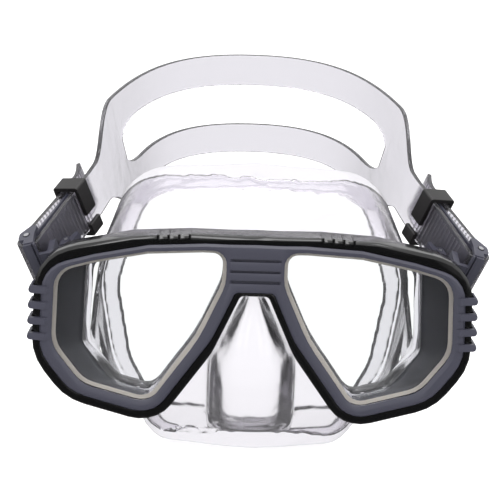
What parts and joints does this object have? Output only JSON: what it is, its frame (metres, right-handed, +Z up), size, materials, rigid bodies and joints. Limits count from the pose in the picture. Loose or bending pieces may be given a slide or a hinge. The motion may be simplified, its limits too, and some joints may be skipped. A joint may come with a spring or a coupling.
{
  "type": "diving mask",
  "caption": "Low-volume diving mask with framed tempered lenses, a clear silicone skirt with nose pocket, and a split silicone strap on swivelling roller buckles.",
  "frame": {"origin": "middle of the flat front face of the bridge, between the lenses", "axes": "+X across the face, -Y forwards out of the bridge face, +Z up"},
  "size_m": [0.1898, 0.1803, 0.1507],
  "materials": {
    "frame_black": "glossy black",
    "bezel_slate": "satin dark slate",
    "lens_glass": "clear tempered glass",
    "clear_silicone": "clear satin silicone",
    "pin_steel": "brushed",
    "keeper_black": "satin black"
  },
  "bodies": {
    "mask": {"main_frame": "frame_black", "retaining_bezel": "bezel_slate", "lens_left": "lens_glass", "lens_right": "lens_glass", "skirt": "clear_silicone", "swivel_pin_left": "pin_steel", "swivel_pin_right": "pin_steel"},
    "harness": {"strap": "clear_silicone", "buckle_body_left": "bezel_slate", "buckle_body_right": "bezel_slate", "roller_pin_left": "pin_steel", "roller_pin_right": "pin_steel", "lever_pin_left": "pin_steel", "lever_pin_right": "pin_steel"},
    "roller_left": {"strap_roller_left": "frame_black"},
    "lever_left": {"release_lever_left": "bezel_slate"},
    "keeper_left": {"strap_keeper_left": "keeper_black"},
    "roller_right": {"strap_roller_right": "frame_black"},
    "lever_right": {"release_lever_right": "bezel_slate"},
    "keeper_right": {"strap_keeper_right": "keeper_black"}
  },
  "joints": [
    {"name": "strap_swing", "type": "hinge", "parent": "mask", "child": "harness", "pos_m": [0, 0.036, -0.001], "axis": [1, 0, 0], "range_deg": [-25, 40]},
    {"name": "roller_spin_left", "type": "hinge", "parent": "harness", "child": "roller_left", "pos_m": [-0.0873, 0.036, -0.001], "axis": [-0.2924, -0.3271, 0.8986], "continuous": true},
    {"name": "lever_press_left", "type": "hinge", "parent": "harness", "child": "lever_left", "pos_m": [-0.07662, 0.04382, 0.00532], "axis": [0.2924, 0.3271, -0.8986], "range_deg": [0, 12], "stiffness_Nm_per_rad": 0.01},
    {"name": "keeper_slide_left", "type": "slide", "parent": "harness", "child": "keeper_left", "axis": [0.3582, 0.8338, 0.42], "range_m": [-0.004, 0.004]},
    {"name": "roller_spin_right", "type": "hinge", "parent": "harness", "child": "roller_right", "pos_m": [0.0873, 0.036, -0.001], "axis": [0.2924, -0.3271, 0.8986], "continuous": true},
    {"name": "lever_press_right", "type": "hinge", "parent": "harness", "child": "lever_right", "pos_m": [0.07662, 0.04382, 0.00532], "axis": [0.2924, -0.3271, 0.8986], "range_deg": [0, 12], "stiffness_Nm_per_rad": 0.01},
    {"name": "keeper_slide_right", "type": "slide", "parent": "harness", "child": "keeper_right", "axis": [-0.3582, 0.8338, 0.42], "range_m": [-0.004, 0.004]}
  ]
}
